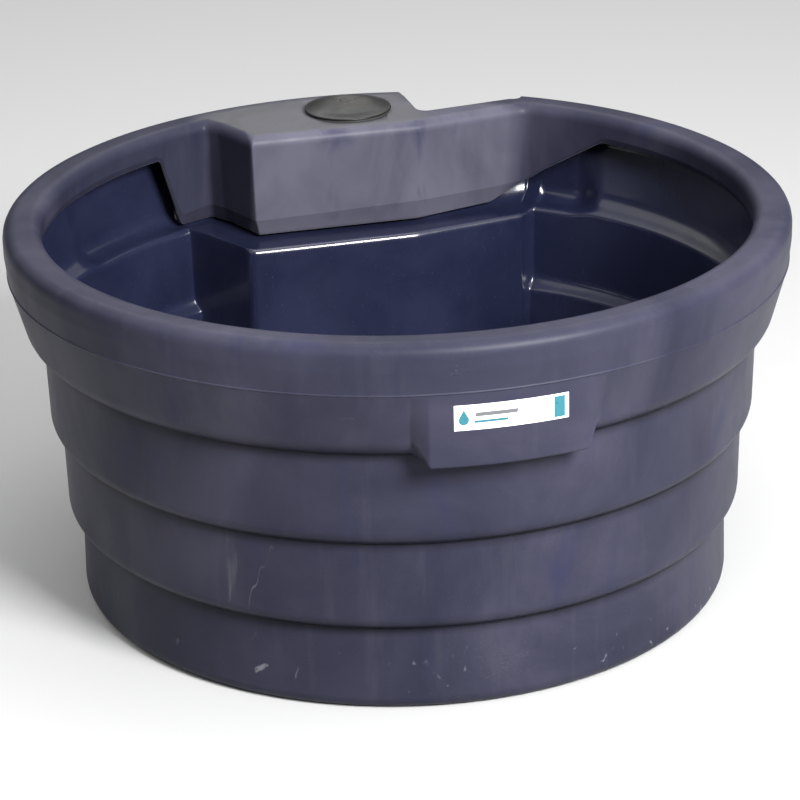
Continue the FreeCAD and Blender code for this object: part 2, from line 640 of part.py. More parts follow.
def float_and_stem():
    """Threaded stem through the lever's eye, its two nuts and the round float below."""
    rim = "float_radius - float_round"
    seam = "(float_top + float_low) / 2"
    keep(on_lever(turned("stem", [("0", "-stem_low"), ("stem_radius", "-stem_low"),
                                  ("stem_radius", "-stem_top"), ("0", "-stem_top")]),
                  "arm_reach"), "float_stem")
    keep(on_lever(turned("float", [
        ("0", "-float_low"), (rim, "-float_low", "float_round"),
        ("float_radius", "-float_low + float_round"),
        ("float_radius", f"-{seam} - float_groove"), ("float_radius - float_groove", f"-{seam}"),
        ("float_radius", f"-{seam} + float_groove"),
        ("float_radius", "-float_top - float_round", "float_round"), (rim, "-float_top"),
        ("float_boss_radius", "-float_top"), ("float_boss_radius", "-float_top + float_boss"),
        ("stem_radius + fit_gap", "-float_top + float_boss"),
        ("stem_radius + fit_gap", "-stem_low"),
        ("0", "-stem_low")]), "arm_reach"), "float")
    half_eye = "eye_thickness / 2"
    nuts = doc.addObject("Part::Compound", "stem_nuts")
    nuts.Links = [
        hex_nut("upper_nut", "stem_nut_flats", "stem_radius + fit_gap", "stem_nut",
                up=f"-arm_drop + {half_eye}"),
        hex_nut("lower_nut", "stem_nut_flats", "stem_radius + fit_gap", "stem_nut",
                up=f"-arm_drop - {half_eye} - stem_nut")]
    keep(on_lever(nuts, "arm_reach"), "float_stem_nuts")


# ---------------------------------------------------------------- drain
def on_drain_axis(name, corners):
    """A turned piece on the drain's axis; its heights are distances along Y."""
    return turned(name, corners, "drain_across", "0", "drain_height", ALONG_Y)


def drain():
    """Flanged bush through the recess wall, clamped by a nut and closed by a plug."""
    gasket_face = "recess_front - drain_gasket"
    flange_face = f"{gasket_face} - drain_flange"
    bush_end = f"{flange_face} + drain_bush_length"
    collar = f"{bush_end} + drain_ring"
    keep(on_drain_axis("bush", [
        ("drain_bush_bore", flange_face), ("drain_flange_radius", flange_face),
        ("drain_flange_radius", gasket_face), ("drain_bush_radius", gasket_face),
        ("drain_bush_radius", bush_end), ("drain_bush_bore", bush_end)]), "drain_bush")
    keep(on_drain_axis("gasket", tube_section("drain_hole_radius", "drain_flange_radius",
                                              gasket_face, "recess_front")), "drain_gasket")
    keep(hex_nut("locknut", "drain_nut_flats", "drain_bush_radius + fit_gap", "drain_nut",
                 "drain_across", "recess_front + wall", "drain_height", ALONG_Y),
         "drain_locknut")
    keep(on_drain_axis("ring", tube_section("drain_bush_bore + side_play", "drain_ring_radius",
                                            bush_end, collar)), "drain_plug_seal")
    thread = on_drain_axis("plug_thread", [
        ("0", f"{bush_end} - drain_plug_depth"),
        ("drain_plug_radius", f"{bush_end} - drain_plug_depth"), ("drain_plug_radius", collar),
        ("drain_collar_radius", collar), ("drain_collar_radius", f"{collar} + drain_collar"),
        ("0", f"{collar} + drain_collar")])
    head = extruded("plug_head", free_sketch("plug_head_plan", hex_corners("drain_head_flats")),
                    "drain_head")
    place(head, "drain_across", f"{collar} + drain_collar - overshoot", "drain_height", ALONG_Y)
    keep(fused("plug", thread, head), "drain_plug")


# ---------------------------------------------------------------- build and write
def check_document():
    """Stop if any object failed or any sub-part is empty or broken."""
    for item in doc.Objects:
        if {"Invalid", "Error"} & set(item.State):
            raise RuntimeError(f"{item.Name} failed: {item.State}")
    for item in parts:
        if item.Shape.isNull() or not item.Shape.isValid():
            raise RuntimeError(f"{item.Label} has no valid shape")


tank_regions()
label_plate()
access_cap()
valve_body()
valve_insides()
shank_fixings()
lever()
pivot()
float_and_stem()
drain()
doc.recompute()
check_document()
os.makedirs("parts", exist_ok=True)
for item in parts:
    item.Shape.exportStep(f"parts/{item.Label}.step")
    box = item.Shape.BoundBox
    print(f"{item.Label}: {len(item.Shape.Solids)} solids, {item.Shape.Volume / 1000:.1f} cm3, "
          f"X {box.XMin:.1f} to {box.XMax:.1f}, Y {box.YMin:.1f} to {box.YMax:.1f}, "
          f"Z {box.ZMin:.1f} to {box.ZMax:.1f}")
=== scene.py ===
"""Looks of the round livestock water trough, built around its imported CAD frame."""
import json
import math

import bpy
import bmesh
import numpy as np
from mathutils import Matrix, Vector


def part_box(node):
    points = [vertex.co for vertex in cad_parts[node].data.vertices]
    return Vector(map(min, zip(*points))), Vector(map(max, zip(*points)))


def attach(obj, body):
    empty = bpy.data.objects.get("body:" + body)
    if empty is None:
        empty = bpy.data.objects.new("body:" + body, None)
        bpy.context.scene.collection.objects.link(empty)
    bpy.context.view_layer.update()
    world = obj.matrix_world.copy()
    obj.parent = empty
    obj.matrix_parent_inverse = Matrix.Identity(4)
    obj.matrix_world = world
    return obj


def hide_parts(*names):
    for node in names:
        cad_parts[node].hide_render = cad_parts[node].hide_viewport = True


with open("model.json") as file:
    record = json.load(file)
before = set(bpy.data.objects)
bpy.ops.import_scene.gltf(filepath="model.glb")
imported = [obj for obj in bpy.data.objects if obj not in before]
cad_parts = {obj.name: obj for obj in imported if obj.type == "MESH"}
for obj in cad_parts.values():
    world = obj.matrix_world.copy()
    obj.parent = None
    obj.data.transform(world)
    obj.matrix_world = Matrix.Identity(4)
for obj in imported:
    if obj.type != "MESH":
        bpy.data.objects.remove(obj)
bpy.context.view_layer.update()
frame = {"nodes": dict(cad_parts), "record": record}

MM = 0.001

# ---------------------------------------------------------------- tub sizes, in millimetres
# Angles are in degrees to the right of the back, as seen from the front.
WALL = 8.0
RIM_HEIGHT = 700.0
LIP_RADIUS = 630.0           # circle of the lip's front, away from the housing
# Corners of the outside wall, from the ground to the rim: radius, height, rounding.
WALL_CORNERS = [
    (592, 0, 22), (589, 153, 1.5), (613, 170, 26), (616, 320, 1.5), (635, 337, 30),
    (639, 490, 1.5), (667, 512, 42), (694, 615, 30), (698, 655, 60), (698, 700, 38)]
# Places in that list: the foot of each step, the foot and face of the top band, the mould's
# parting and the rim.
STEP_FEET = (1, 3, 5)
BAND_FOOT, BAND_FACE, PARTING, RIM = 5, 6, 7, 9
STEP_RISE = 4.0              # how much higher the inside of a step lies than its outside
INNER_ROUNDING = 12.0        # least rounding of the corners inside the wall
INNER_SOFTER = 4.0           # how much rounder than the outside they are otherwise
# Flash left by the mould's parting: how far each corner stands out and above the parting.
PARTING_RIDGE = [(0, -2.0), (1.4, -0.3), (1.4, 0.3), (0, 2.0)]
RIDGE_ROUNDING = 0.4
RIDGE_FADE = 6.0             # how far in from its circle the wall is where the flash is gone

# Deep parts of the top band: a bulge round the back and the label boss in front. Each has the
# angles from its middle between which it fades.
BULGE_RADIUS, BULGE_FOOT = 694.0, 482.0
BULGE_ANGLES, BULGE_SOFTNESS = (47.0, 51.5), 0.3
BOSS_RADIUS, BOSS_FOOT = 693.0, 485.0
BOSS_ANGLES, BOSS_SOFTNESS = (11.2, 13.6), 0.1
BOSS_ROUNDING = 4.0
FACE_RISE = 1.5              # height of a deep part's face above its foot

# Plan corners seen from above, left to right: place and rounding.
HOUSING = [((-205, 562), 5), ((-163, 456), 4), ((168, 450), 40)]
RECESS = [((-383, 760), 0), ((-239, 526), 60), ((-199, 411), 16), ((149, 411), 60),
          ((376, 449), 14), ((388, 494), 14), ((470, 598), 0)]
NOTCH = [((188, 760), 0), ((188, 525), 22), ((410, 552), 10), ((430, 760), 0)]
# Where the housing's sides leave the lip circle: angle and rounding.
HOUSING_LEFT, HOUSING_RIGHT = (-20.7, 12), (38.7, 34)
HOUSING_SPAN = (-60, 78)     # angles beyond which the lip is a plain circle
SPAN_MARGIN = 2              # how much further the plan goes on along that circle
HOUSING_REACH = 36.0         # how far outwards the plan is worked out
# How softly the wall turns into the recess and the notch, outside and inside.
RECESS_BLEND = (12, 26)
NOTCH_BLEND = (14, 24)
NOTCH_RIM_ROUNDING = 15.0
NOTCH_RIM_FADE = 30.0        # how far in from its circle the wall is where that holds in full

DRAFT = 0.045                # how far the hanging wall goes back for its height
STRIP_SLOPE = 0.35           # how far the strip above the cut edge goes back for its height
ROLL = 20.0                  # rounding of the edge between the rim's flat and the hanging wall
ROLL_TURNS = (0, 15, 30, 45, 60, 75, 90)     # degrees round the roll where it has its points
INNER_ROLL = 13.0            # rounding of the same edge's other side
# Rounding where the wall turns into the strip, outside and inside, and at the cut edge.
STRIP_ROUNDING, INNER_STRIP_ROUNDING = 1.5, 4.0
CUT_ROUNDING = 0.8
INNER_STRIP_RISE = 2.0       # how much higher that turn lies inside than outside
LIP_EDGE = 644.0             # height of the lip's cut edge
SKIRT_EDGE = 498.0           # height of the hanging wall's cut edge
# Cut edge of the lip and the hanging wall: angle, height of the edge.
EDGE_HEIGHTS = [(-180, LIP_EDGE), (-30.6, LIP_EDGE), (-26, SKIRT_EDGE), (19.4, SKIRT_EDGE),
                (32.9, 506), (37.4, 540), (53.5, LIP_EDGE), (180, LIP_EDGE)]
EDGE_SOFTNESS = 1.6
# Sloping strip above the cut edge: angle, height of the strip.
STRIP_HEIGHTS = [(-180, 12), (-32, 12), (-30.6, 6), (-27, 8), (-25.6, 24), (-17.4, 32),
                 (19.4, 41), (32.9, 34), (37.4, 4), (52, 5), (55, 12), (180, 12)]
STRIP_SOFTNESS = 0.9

# Where the tub's sections are taken (start, end, step): all round, then closer at the sides of
# the bulge and the boss and at the left end of the hanging wall.
SECTION_RUNS = [(-180, 180, 1.25), (-53, -45, 0.5), (45, 53, 0.5), (166, 169.4, 0.1),
                (-166, -169.4, -0.1), (-31, -24, 0.4)]
PLAN_TURNS = 44              # sections also follow the points of the plans within this angle
LEAST_TURN = 0.04            # two sections are never closer than this

CAP_HOLE_RADIUS = 76.0
CAP_HOLE_DEPTH = 60.0        # length of the drill that cuts the hole
# Half section of the access cap, from the middle of its top to the middle of its underside:
# radius, height above the rim's flat, rounding.
CAP_SECTION = [
    (0, 22.2, 0), (15, 21.8, 1), (16, 20.6, 1), (40, 19.2, 60), (66, 12.6, 40), (77, 8.6, 12),
    (83.4, 7.4, 2), (84.5, 5.6, 1), (83.6, 4, 0.8), (75, 4, 1), (75, -20, 1), (71, -20, 1),
    (71, 7, 3), (40, 15.5, 40), (0, 18, 0)]


# ---------------------------------------------------------------- points and paths
SIDE_SHARE = 0.48            # how much of a side the rounding at one of its ends may take
# Half the angle of a corner that is too flat or too sharp to round.
NEARLY_STRAIGHT, NEARLY_FOLDED = math.radians(89.7), math.radians(1)


def unit(vector):
    return vector / max(np.linalg.norm(vector), 1e-12)


def mix(one, two, share):
    return one + (two - one) * share


def fillet(before, corner, after, radius, steps):
    """Points of the arc that rounds a corner, cut short where its sides are short."""
    first, second = before - corner, after - corner
    room = SIDE_SHARE * min(np.linalg.norm(first), np.linalg.norm(second))
    first, second = unit(first), unit(second)
    half = math.acos(max(-1.0, min(1.0, float(first @ second)))) / 2
    if radius <= 0 or room < 1e-6 or half > NEARLY_STRAIGHT or half < NEARLY_FOLDED:
        return np.repeat(corner[None], steps + 1, axis=0)
    reach = min(radius / math.tan(half), room)
    size = reach * math.tan(half)
    centre = corner + unit(first + second) * size / math.sin(half)
    start = corner + first * reach - centre
    end = corner + second * reach - centre
    sweep = math.pi - 2 * half
    shares = np.linspace(0, 1, steps + 1)[:, None]
    return centre + (np.sin((1 - shares) * sweep) * start + np.sin(shares * sweep) * end) \
        / math.sin(sweep)


def moved_path(points, distance):
    """An open path moved to its left, its corners mitred."""
    steps = np.diff(points, axis=0)
    steps = steps / np.linalg.norm(steps, axis=1)[:, None]
    normals = np.column_stack((-steps[:, 1], steps[:, 0]))
    moved = [points[0] + normals[0] * distance]
    for point, one, two in zip(points[1:-1], normals, normals[1:]):
        moved.append(point + (one + two) * distance / (1 + one @ two))
    moved.append(points[-1] + normals[-1] * distance)
    return np.array(moved)


def rounded_path(points, radii, steps=6):
    """The path with its corners rounded."""
    track = [points[0]]
    for before, corner, after, radius in zip(points, points[1:], points[2:], radii[1:]):
        track.extend(fillet(before, corner, after, radius, steps))
    track.append(points[-1])
    return np.array(track)


def run_counts(track, spacing=9.0):
    """How many pieces each run of a path is divided into."""
    return (np.linalg.norm(np.diff(track, axis=0), axis=1) // spacing).astype(int) + 1


def filled_path(track, counts):
    """The path with points spread evenly along its runs."""
    dense = [track[0]]
    for one, two, count in zip(track, track[1:], counts):
        dense.extend(one + (two - one) * share for share in np.linspace(0, 1, count + 1)[1:])
    return np.array(dense)


def plan_point(radius, angle):
    return (radius * math.sin(math.radians(angle)), radius * math.cos(math.radians(angle)))


def upright_point(radius, angle, height):
    return (*plan_point(radius, angle), height)


def plan_angles(path):
    return np.degrees(np.arctan2(path[:, 0], path[:, 1]))


# ---------------------------------------------------------------- soft functions of the angle
def soft_table(rows, softness):
    """A table of (angle, height) as a function, its bends softened over some degrees."""
    step = 0.1
    grid = np.arange(-200, 200.01, step)
    heights = np.interp(grid, *zip(*rows))
    width = max(1, int(softness / step))
    kernel = np.hanning(width + 2)[1:-1]
    padded = np.pad(heights, width, mode="edge")
    soft = np.convolve(padded, kernel / kernel.sum(), mode="same")[width:-width]
    return lambda angle: float(np.interp(angle, grid, soft))


def soft_min(one, two, size):
    """The smaller of two lengths, blended where they are within a size of each other."""
    overlap = max(size - abs(one - two), 0) / size
    return min(one, two) - overlap * overlap * size / 4


def ramp(angle, inner, outer, softness):
    """1 inside the inner angle, 0 beyond the outer one, with softened ends."""
    share = (outer - abs(angle)) / (outer - inner)
    return max(0.0, soft_min(-soft_min(-share, 0, softness), 1, softness))


# ---------------------------------------------------------------- plans of the tub
class Outline:
    """A plan outline as radius against angle, moved outwards by a distance."""

    NOWHERE = 2000           # radius where the outline doesn't reach, beyond every wall

    def __init__(self, corners, distance=0.0):
        points = np.array([place for place, _ in corners], float)
        track = rounded_path(moved_path(points, distance), [rounding for _, rounding in corners])
        path = filled_path(track, run_counts(track))
        angles = plan_angles(path)
        onward = angles >= np.maximum.accumulate(angles) - 1e-9
        self.angles = angles[onward]
        self.radii = np.hypot(path[:, 0], path[:, 1])[onward]

    def radius(self, angle):
        return float(np.interp(angle, self.angles, self.radii,
                               left=self.NOWHERE, right=self.NOWHERE))


def ring_corners(low, high, step=3.0):
    """Corners along the lip circle between two angles."""
    count = max(1, round((high - low) / step))
    return [(plan_point(LIP_RADIUS, angle), 0) for angle in np.linspace(low, high, count + 1)]


def housing_corners():
    """Corners of the lip and the housing, from left of the housing to right of it."""
    left = ring_corners(HOUSING_SPAN[0] - SPAN_MARGIN, HOUSING_LEFT[0])
    right = ring_corners(HOUSING_RIGHT[0], HOUSING_SPAN[1] + SPAN_MARGIN)
    left[-1] = (left[-1][0], HOUSING_LEFT[1])
    right[0] = (right[0][0], HOUSING_RIGHT[1])
    return left + HOUSING + right


class Housing:
    """Plan of the lip and hanging wall, moved outwards by any distance up to the last.
    A spot keeps its place along the wall as it is moved, so corners stay corners. Its angle
    is taken where the rim's flat ends, at the roll."""

    DISTANCES = (0.0, WALL, ROLL, HOUSING_REACH)

    def __init__(self):
        corners = housing_corners()
        points = np.array([place for place, _ in corners], float)
        radii = [rounding for _, rounding in corners]
        tracks = [rounded_path(moved_path(points, distance), radii)
                  for distance in self.DISTANCES]
        counts = run_counts(tracks[0])
        self.paths = [filled_path(track, counts) for track in tracks]
        self.angles = plan_angles(self.paths[self.DISTANCES.index(ROLL)])

    def place(self, angle, distance, height):
        """The wall's point at an angle, moved outwards by a distance."""
        if not HOUSING_SPAN[0] < angle < HOUSING_SPAN[1]:
            return upright_point(LIP_RADIUS + distance, angle, height)
        spot = np.interp(angle, self.angles, np.arange(len(self.angles)))
        first = min(int(spot), len(self.angles) - 2)
        spots = [mix(path[first], path[first + 1], spot - first) for path in self.paths]
        return (*(np.interp(distance, self.DISTANCES, side) for side in zip(*spots)), height)


# ---------------------------------------------------------------- tub mesh
OUTSIDE, INSIDE, CUT = 0, 1, 2


class TubShape:
    """Half section of the moulding at any angle. Its corners are (place, rounding, surface that
    starts there)."""

    def __init__(self):
        self.housing = Housing()
        self.recess = Outline(RECESS, WALL), Outline(RECESS)
        self.notch = Outline(NOTCH), Outline(NOTCH, -WALL)
        self.edge = soft_table(EDGE_HEIGHTS, EDGE_SOFTNESS)
        self.strip = soft_table(STRIP_HEIGHTS, STRIP_SOFTNESS)

    def angles(self):
        """Where the sections are taken."""
        marks = [mark for run in SECTION_RUNS for mark in np.arange(*run)]
        for outline in (*self.recess, *self.notch, self.housing):
            marks += [angle for angle in outline.angles if abs(angle) < PLAN_TURNS]
        marks = sorted(marks)
        kept = [marks[0]]
        for mark in marks[1:]:
            if mark - kept[-1] > LEAST_TURN:
                kept.append(mark)
        return kept

    def wall_corners(self, angle):
        """Corners of the wall's outside and inside, both from the ground up."""
        bulge = ramp(angle, *BULGE_ANGLES, BULGE_SOFTNESS)
        boss = ramp(180 - abs(angle), *BOSS_ANGLES, BOSS_SOFTNESS)
        deep = max(bulge, boss)
        foot, face = (BULGE_FOOT, BULGE_RADIUS) if bulge > boss else (BOSS_FOOT, BOSS_RADIUS)
        recess = [outline.radius(angle) for outline in self.recess]
        notch = [outline.radius(angle) for outline in self.notch]
        outer, inner = [], []
        for number, (radius, height, rounding) in enumerate(WALL_CORNERS):
            rise = STEP_RISE if number else WALL
            if number in (BAND_FOOT, BAND_FACE):
                rise = mix(STEP_RISE, WALL, deep)
            if number == BAND_FOOT:
                height = mix(height, foot, deep)
            if number == BAND_FACE:
                radius = mix(radius, face, deep)
                height = mix(height, foot + FACE_RISE, deep)
                rounding = mix(rounding, BOSS_ROUNDING, boss)
            if number == PARTING:
                radius = mix(radius, face, boss)
            if number == RIM:
                rise = -WALL
            sides = [radius, radius - WALL]
            if number <= BAND_FOOT:
                sides = [soft_min(*pair) for pair in zip(sides, recess, RECESS_BLEND)]
            if number >= BAND_FOOT:
                sides = [soft_min(*pair) for pair in zip(sides, notch, NOTCH_BLEND)]
            out, into = sides
            if number == RIM:
                share = min(1.0, (radius - out) / NOTCH_RIM_FADE)
                rounding = mix(rounding, NOTCH_RIM_ROUNDING, share)
            if number == PARTING:
                proud = max(0.0, 1 - (radius - out) / RIDGE_FADE)
                outer.extend((upright_point(out + stand * proud, angle, height + lift),
                              RIDGE_ROUNDING, OUTSIDE) for stand, lift in PARTING_RIDGE)
            else:
                outer.append((upright_point(out, angle, height), rounding, OUTSIDE))
            inner.append((upright_point(into, angle, height + rise),
                          max(rounding + INNER_SOFTER, INNER_ROUNDING), INSIDE))
        return outer, inner

    def lip_corners(self, angle):
        """Corners of the roll, down the hanging wall to its cut edge and up behind it."""
        edge, strip = self.edge(angle), self.strip(angle)
        fold = (RIM_HEIGHT - ROLL - edge - strip) * DRAFT
        hem = fold + strip * STRIP_SLOPE
        rows = []
        for turn in map(math.radians, ROLL_TURNS):
            back, drop = ROLL * (1 - math.sin(turn)), ROLL * (1 - math.cos(turn))
            rows.append((back, RIM_HEIGHT - drop, ROLL, OUTSIDE))
        rows += [(fold, edge + strip, STRIP_ROUNDING, OUTSIDE),
                 (hem, edge, CUT_ROUNDING, CUT),
                 (hem + WALL, edge, CUT_ROUNDING, INSIDE),
                 (fold + WALL, edge + strip + INNER_STRIP_RISE, INNER_STRIP_ROUNDING, INSIDE),
                 (WALL, RIM_HEIGHT - WALL, INNER_ROLL, INSIDE)]
        return [(self.housing.place(angle, distance, height), rounding, kind)
                for distance, height, rounding, kind in rows]

    def corners(self, angle):
        """All corners: under the floor, up the wall, over the lip and back above the floor."""
        outer, inner = self.wall_corners(angle)
        return [((0, 0, 0), 0, OUTSIDE), *outer, *self.lip_corners(angle), *inner[::-1],
                ((0, 0, WALL), 0, INSIDE)]


def section_points(corners, steps=5, margin=4.0, largest_share=0.3):
    """Section points with rounded corners and a point close to each end of every run, at a
    margin or at a share of the run where it is short. Also the surface after each point."""
    places = [np.array(place, float) for place, _, _ in corners]
    arcs = [places[0][None]]
    for before, corner, after, (_, rounding, _) in zip(
            places, places[1:], places[2:], corners[1:]):
        arcs.append(fillet(before, corner, after, rounding, steps))
    arcs.append(places[-1][None])
    points, kinds = [], []
    for arc, follower, (_, _, kind) in zip(arcs, arcs[1:], corners):
        start, end = arc[-1], follower[0]
        length = np.linalg.norm(end - start)
        share = min(margin / max(length, 1e-9), largest_share)
        points.extend(arc)
        points.extend((start + (end - start) * share, end + (start - end) * share))
        kinds.extend([kind] * (len(arc) + 2))
    points.append(arcs[-1][0])
    return np.array(points), kinds


def tub_mesh():
    """The moulding as a ring of sections closed at the axis above and below."""
    shape = TubShape()
    angles = shape.angles()
    sections = []
    for angle in angles:
        points, kinds = section_points(shape.corners(angle))     # kinds are alike at all angles
        sections.append(points[1:-1])
    count = len(sections[0])
    vertices = np.concatenate(sections + [np.array([[0, 0, 0], [0, 0, WALL]])]) * MM
    low_pole, high_pole = len(angles) * count, len(angles) * count + 1
    faces, marks = [], []
    for column in range(len(angles)):
        one = column * count
        two = (column + 1) % len(angles) * count
        faces.append((low_pole, one, two))
        marks.append(OUTSIDE)
        for row in range(count - 1):
            faces.append((one + row, one + row + 1, two + row + 1, two + row))
            marks.append(kinds[row + 1])
        faces.append((one + count - 1, high_pole, two + count - 1))
        marks.append(INSIDE)
    mesh = bpy.data.meshes.new("tub")
    mesh.from_pydata(vertices.tolist(), [], faces)
    mesh.polygons.foreach_set("material_index", marks)
    mesh.polygons.foreach_set("use_smooth", [True] * len(faces))
    mesh.update()
    return mesh


def add_object(name, data):
    piece = bpy.data.objects.new(name, data)
    bpy.context.scene.collection.objects.link(piece)
    return piece


def bore(piece, centre, radius, depth):
    """Cut a round upright hole through a piece."""
    mesh = bpy.data.meshes.new("drill")
    drill = bmesh.new()
    bmesh.ops.create_cone(drill, cap_ends=True, segments=96, radius1=radius, radius2=radius,
                          depth=depth)
    drill.to_mesh(mesh)
    drill.free()
    cutter = add_object("drill", mesh)
    cutter.location = centre
    modifier = piece.modifiers.new("hole", "BOOLEAN")
    modifier.object = cutter
    modifier.operation = "DIFFERENCE"
    modifier.solver = "EXACT"
    bpy.context.view_layer.update()
    done = bpy.data.meshes.new_from_object(
        piece.evaluated_get(bpy.context.evaluated_depsgraph_get()))
    piece.modifiers.clear()
    piece.data = done
    bpy.data.objects.remove(cutter)


def make_tub():
    """One seamless moulding with the cap's hole in its housing."""
    tub = add_object("tub_moulding", tub_mesh())
    for material in (MATERIALS["tub_outside"], MATERIALS["tub_inside"], MATERIALS["tub_cut"]):
        tub.data.materials.append(material)
    low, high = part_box("cap_seal")
    bore(tub, (low + high) / 2, CAP_HOLE_RADIUS * MM, CAP_HOLE_DEPTH * MM)
    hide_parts("tank_floor", "tank_wall_left", "tank_wall_front", "tank_wall_right",
                "supply_recess_wall", "valve_housing")
    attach(tub, "tub")


# ---------------------------------------------------------------- access cap
def rounded_section(corners, least_gap=0.05):
    """A section's points with its corners rounded, without points that nearly coincide."""
    places = np.array([corner[:2] for corner in corners], float)
    points = rounded_path(places, [rounding for _, _, rounding in corners], steps=5)
    kept = [points[0]]
    for point in points[1:]:
        if np.linalg.norm(point - kept[-1]) > least_gap:
            kept.append(point)
    return kept


def ring_mesh(name, points, spots=96):
    """A half section (radius, height), from axis to axis, turned about the vertical axis."""
    mesh = bpy.data.meshes.new(name)
    turned = bmesh.new()
    rings = []
    for radius, height in points:
        if radius < 1e-6:
            rings.append([turned.verts.new((0, 0, height * MM))] * spots)
            continue
        rings.append([turned.verts.new((
            radius * MM * math.cos(spot * math.tau / spots),
            radius * MM * math.sin(spot * math.tau / spots), height * MM))
            for spot in range(spots)])
    for upper, lower in zip(rings, rings[1:]):
        for spot in range(spots):
            after = (spot + 1) % spots
            corners = list(dict.fromkeys(
                (upper[spot], lower[spot], lower[after], upper[after])))
            if len(corners) > 2:
                turned.faces.new(corners).smooth = True
    bmesh.ops.recalc_face_normals(turned, faces=turned.faces)
    turned.to_mesh(mesh)
    turned.free()
    return mesh


def make_cap():
    """Low domed cap with a raised middle, a rolled edge and a skirt below it."""
    cap = add_object("cap_dome", ring_mesh("cap_dome", rounded_section(CAP_SECTION)))
    low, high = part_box("access_cap")
    cap.location = ((low.x + high.x) / 2, (low.y + high.y) / 2, RIM_HEIGHT * MM)
    cap.data.materials.append(MATERIALS["cap"])
    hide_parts("access_cap")
    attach(cap, "cap")


# ---------------------------------------------------------------- printed label
# The print is sliced upright so that it can bend: how far from its middle, and how often.
LABEL_REACH, LABEL_SLICE = 90, 6
PRINT_LIFT = 0.25            # height of the middle of the print's thickness above the label
PRINT_THICKNESS = 0.2
# The drop is an arc with a tip: middle and radius of the arc, place of the tip, turns of the arc.
DROP_MIDDLE, DROP_RADIUS, DROP_TIP = (-80, -4), 8.5, (-80, 14)
DROP_START, DROP_END = math.radians(150), math.radians(390)
DROP_POINTS = 25


def label_piece(name, outline, look):
    """A flat printed shape, (across, up) in millimetres from the label's middle, laid on the
    curved label."""
    low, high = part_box("label_plate")
    middle = (low.z + high.z) / 2
    face = -low.y + PRINT_LIFT * MM
    mesh = bpy.data.meshes.new(name)
    flat = bmesh.new()
    flat.faces.new([flat.verts.new((across * MM, up * MM, 0)) for across, up in outline])
    for slice_place in range(-LABEL_REACH, LABEL_REACH + 1, LABEL_SLICE):
        bmesh.ops.bisect_plane(flat, geom=flat.verts[:] + flat.edges[:] + flat.faces[:],
                               plane_co=(slice_place * MM, 0, 0), plane_no=(1, 0, 0))
    for vertex in flat.verts:
        across, up = vertex.co.x, vertex.co.y
        vertex.co = (face * math.sin(across / face), -face * math.cos(across / face),
                     middle + up)
    flat.to_mesh(mesh)
    flat.free()
    piece = add_object(name, mesh)
    sheet = piece.modifiers.new("film", "SOLIDIFY")
    sheet.thickness = PRINT_THICKNESS * MM
    sheet.offset = 0
    piece.data.materials.append(MATERIALS[look])
    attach(piece, "tub")


def bar(left, right, low, high, slant=0.0):
    """Outline of a bar, its top moved to the right by a slant."""
    return [(left, low), (right, low), (right + slant, high), (left + slant, high)]


def make_label():
    """A generic print: a water drop, two plain bars and a tinted end."""
    across, up = DROP_MIDDLE
    drop = [(across + DROP_RADIUS * math.cos(turn), up + DROP_RADIUS * math.sin(turn))
            for turn in np.linspace(DROP_START, DROP_END, DROP_POINTS)]
    label_piece("label_drop", drop + [DROP_TIP], "print_teal")
    label_piece("label_bar_dark", bar(-62, 8, 1, 8, slant=2), "print_grey")
    label_piece("label_bar_light", bar(-64, -8, -10, -5.5, slant=1), "print_teal")
    label_piece("label_end", bar(70, 89, -18, 18), "print_teal")


# ---------------------------------------------------------------- shader building blocks
def new_material(name):
    """An empty node material, its tree and its shader."""
    material = bpy.data.materials.new(name)
    material.use_nodes = True
    return material, material.node_tree, material.node_tree.nodes["Principled BSDF"]


def noise(tree, scale, detail=4.0, stretch=(1, 1, 1), distortion=0.0, roughness=0.55):
    """Noise over the object, in features per metre."""
    place = tree.nodes.new("ShaderNodeTexCoord")
    mapping = tree.nodes.new("ShaderNodeMapping")
    mapping.inputs["Scale"].default_value = stretch
    texture = tree.nodes.new("ShaderNodeTexNoise")
    texture.inputs["Scale"].default_value = scale
    texture.inputs["Detail"].default_value = detail
    texture.inputs["Roughness"].default_value = roughness
    texture.inputs["Distortion"].default_value = distortion
    tree.links.new(place.outputs["Object"], mapping.inputs["Vector"])
    tree.links.new(mapping.outputs["Vector"], texture.inputs["Vector"])
    return texture.outputs["Fac"]


def spread(tree, source, stops):
    """A colour ramp from (position, colour) stops; a plain number makes a grey."""
    node = tree.nodes.new("ShaderNodeValToRGB")
    node.color_ramp.elements.remove(node.color_ramp.elements[1])
    for number, (position, colour) in enumerate(stops):
        element = node.color_ramp.elements[0] if number == 0 \
            else node.color_ramp.elements.new(position)
        element.position = position
        element.color = colour if isinstance(colour, tuple) else (colour, colour, colour, 1)
    tree.links.new(source, node.inputs["Fac"])
    return node.outputs["Color"]


def blended(tree, share, one, two, kind="MIX"):
    """Two colours mixed by a share; each is a socket or a plain value."""
    node = tree.nodes.new("ShaderNodeMix")
    node.data_type = "RGBA"
    node.blend_type = kind
    for socket, source in ((node.inputs[0], share), (node.inputs[6], one), (node.inputs[7], two)):
        if isinstance(source, bpy.types.NodeSocket):
            tree.links.new(source, socket)
        else:
            socket.default_value = source
    return node.outputs[2]


def times(tree, one, two):
    """Two masks or colours multiplied."""
    return blended(tree, 1.0, one, two, "MULTIPLY")


def bump(tree, shader, height, strength, distance):
    """Raise the surface by a height socket, on top of the bumps that it already has."""
    node = tree.nodes.new("ShaderNodeBump")
    node.inputs["Strength"].default_value = strength
    node.inputs["Distance"].default_value = distance
    tree.links.new(height, node.inputs["Height"])
    if shader.inputs["Normal"].links:
        tree.links.new(shader.inputs["Normal"].links[0].from_socket, node.inputs["Normal"])
    tree.links.new(node.outputs["Normal"], shader.inputs["Normal"])


